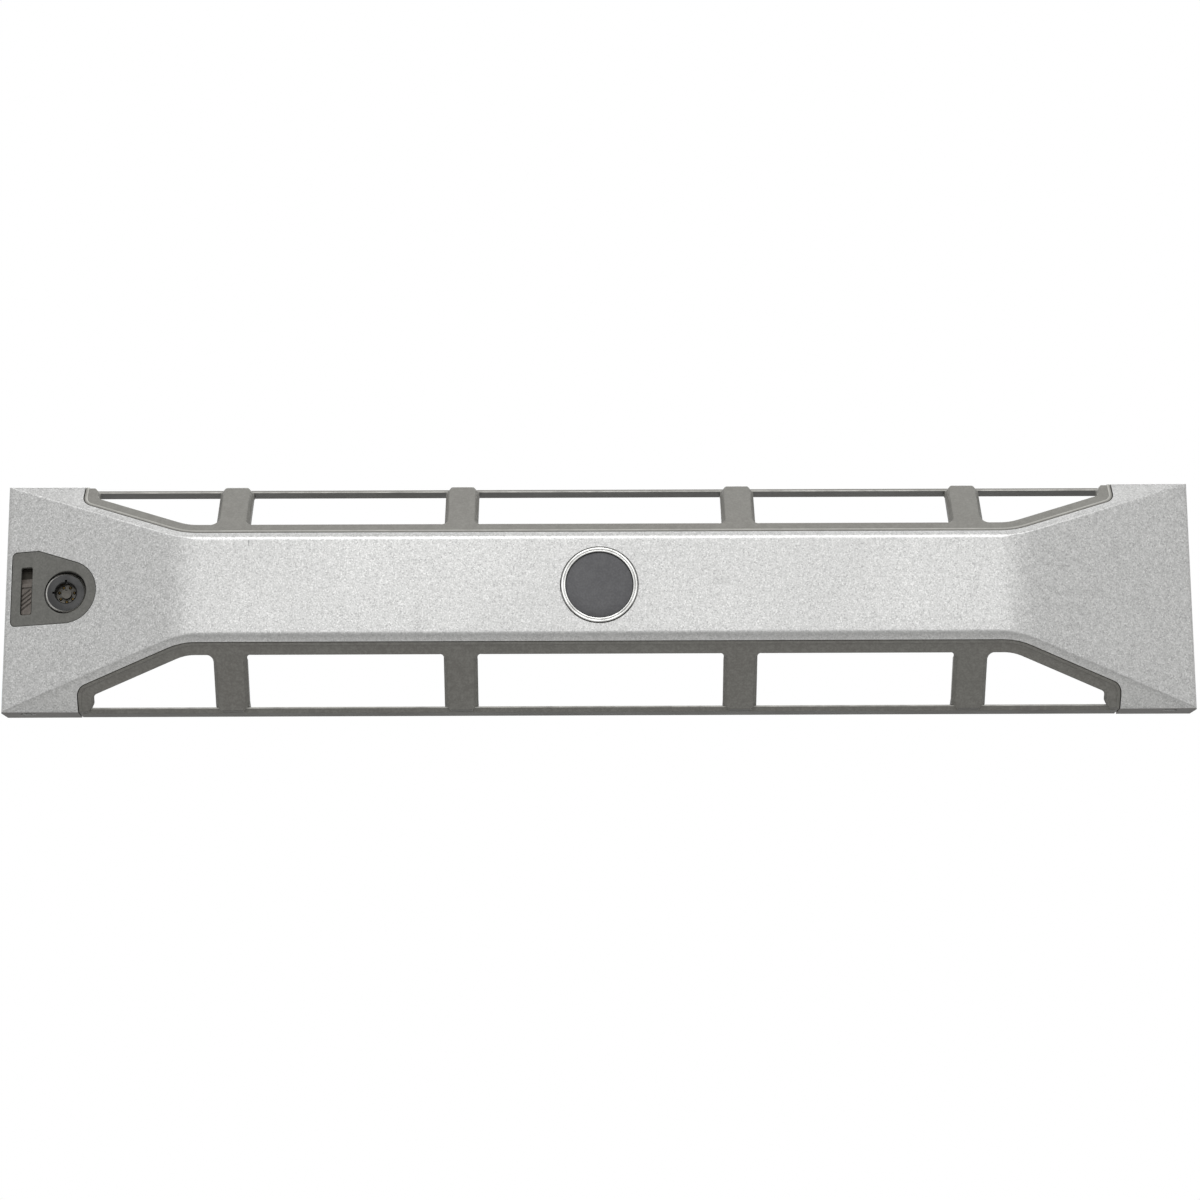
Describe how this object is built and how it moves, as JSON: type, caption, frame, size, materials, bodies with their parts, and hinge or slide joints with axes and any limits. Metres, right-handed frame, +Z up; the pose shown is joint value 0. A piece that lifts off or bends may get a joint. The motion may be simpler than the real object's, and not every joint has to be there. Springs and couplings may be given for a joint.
{
  "type": "server front bezel",
  "caption": "Lockable front bezel for a two-unit rack server: silver band flaring to full-height ends, dark frame with open windows, key lock and lift latch.",
  "frame": {"origin": "centre of the rear plane, where the bezel meets the front of the server chassis; half way along the width and half way up", "axes": "+X to the right as seen from the front, +Y rearwards into the chassis (the face looks along -Y), +Z up"},
  "size_m": [0.4456, 0.0305, 0.0868],
  "materials": {
    "silver_paint": "satin silver metallic paint with fine speckle over moulded plastic",
    "frame_plastic": "fine-grained dark warm grey moulded plastic",
    "insert_plastic": "satin dark grey moulded plastic",
    "slider_plastic": "brownish grey moulded plastic",
    "badge_chrome": "bright",
    "badge_face": "satin dark grey",
    "lock_head": "dark satin nickel",
    "lock_core": "satin nickel",
    "pin_brass": "bright",
    "zinc_steel": "zinc plated",
    "screw_steel": "zinc plated",
    "spring_steel": "bright drawn wire and strip"
  },
  "bodies": {
    "bezel": {"front_shell": "silver_paint", "window_frame": "frame_plastic", "frame_screws": "screw_steel", "badge_ring": "badge_chrome", "badge_disc": "badge_face", "badge_clip": "spring_steel", "lock_insert": "insert_plastic", "lock_barrel": "lock_head", "lock_washer": "zinc_steel", "lock_nut": "zinc_steel", "latch_spring": "spring_steel", "upper_guide": "zinc_steel", "lower_guide": "zinc_steel", "guide_screws": "screw_steel", "hook_bracket": "zinc_steel", "hook_screws": "screw_steel"},
    "lock_core": {"lock_plug": "lock_core", "lock_pins": "pin_brass", "lock_cam": "zinc_steel", "cam_screw": "screw_steel"},
    "latch": {"release_slider": "slider_plastic", "latch_plate": "zinc_steel", "slider_screws": "screw_steel"}
  },
  "joints": [
    {"name": "lock_turn", "type": "hinge", "parent": "bezel", "child": "lock_core", "pos_m": [-0.1992, 0, 0.001], "axis": [0, 1, 0], "range_deg": [0, 90]},
    {"name": "latch_lift", "type": "slide", "parent": "bezel", "child": "latch", "axis": [0, 0, 1], "range_m": [0, 0.0055], "stiffness_N_per_m": 300, "springref_m": -0.004, "deforming": ["latch_spring"]}
  ]
}
